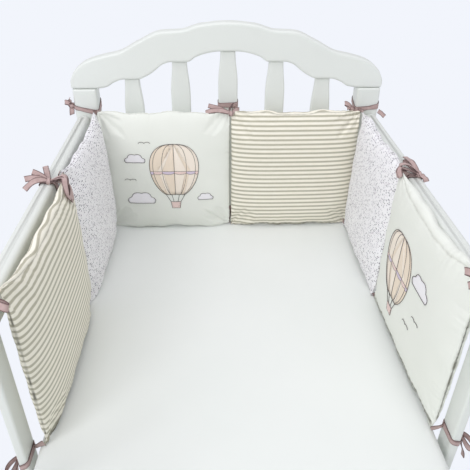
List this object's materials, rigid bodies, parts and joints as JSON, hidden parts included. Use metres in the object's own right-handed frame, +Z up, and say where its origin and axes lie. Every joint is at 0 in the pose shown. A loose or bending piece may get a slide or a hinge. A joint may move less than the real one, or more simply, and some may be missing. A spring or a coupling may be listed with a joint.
{
  "type": "crib bumper on a crib with mattress",
  "caption": "Padded crib bumper of square filled pads tied with ribbon bows round the head half of a white slatted crib with an arched headboard and a mattress.",
  "frame": {"origin": "on the floor, under the middle of the crib", "axes": "+Z up, +Y along the crib towards its head, +X across it to the right for someone who stands at the foot"},
  "size_m": [0.734, 1.2862, 0.957],
  "materials": {
    "white_paint": "white satin paint on wood",
    "base_board": "bare board, hidden under the mattress",
    "sheet": "white cotton sheet drawn tight",
    "plain_cotton": "off-white cotton with stitched pictures",
    "striped_cotton": "cream cotton with taupe stripes",
    "dotted_cotton": "white cotton with small scattered dots",
    "ribbon": "dusty mauve ribbon"
  },
  "bodies": {
    "root": {"mattress": "sheet", "mattress_base": "base_board", "pad_head_left": "plain_cotton", "pad_head_right": "striped_cotton", "pad_left_foot": "striped_cotton", "pad_left_head": "dotted_cotton", "pad_right_foot": "plain_cotton", "pad_right_head": "dotted_cotton", "post_foot_left": "white_paint", "post_foot_right": "white_paint", "post_head_left": "white_paint", "post_head_right": "white_paint", "rail_foot_bottom": "white_paint", "rail_foot_top": "white_paint", "rail_head_bottom": "white_paint", "rail_head_top": "white_paint", "rail_left_bottom": "white_paint", "rail_left_top": "white_paint", "rail_right_bottom": "white_paint", "rail_right_top": "white_paint", "slat_head_1": "white_paint", "slat_head_2": "white_paint", "slat_head_3": "white_paint", "slat_head_4": "white_paint", "slat_head_5": "white_paint", "slat_left_1": "white_paint", "slat_left_10": "white_paint", "slat_left_2": "white_paint", "slat_left_3": "white_paint", "slat_left_4": "white_paint", "slat_left_5": "white_paint", "slat_left_6": "white_paint", "slat_left_7": "white_paint", "slat_left_8": "white_paint", "slat_left_9": "white_paint", "slat_right_1": "white_paint", "slat_right_10": "white_paint", "slat_right_2": "white_paint", "slat_right_3": "white_paint", "slat_right_4": "white_paint", "slat_right_5": "white_paint", "slat_right_6": "white_paint", "slat_right_7": "white_paint", "slat_right_8": "white_paint", "slat_right_9": "white_paint", "tie_head_left_bottom": "ribbon", "tie_head_left_top": "ribbon", "tie_head_middle_bottom": "ribbon", "tie_head_middle_top": "ribbon", "tie_head_right_bottom": "ribbon", "tie_head_right_top": "ribbon", "tie_left_foot_bottom": "ribbon", "tie_left_foot_top": "ribbon", "tie_left_middle_bottom": "ribbon", "tie_left_middle_top": "ribbon", "tie_right_foot_bottom": "ribbon", "tie_right_foot_top": "ribbon", "tie_right_middle_bottom": "ribbon", "tie_right_middle_top": "ribbon"}
  },
  "joints": []
}
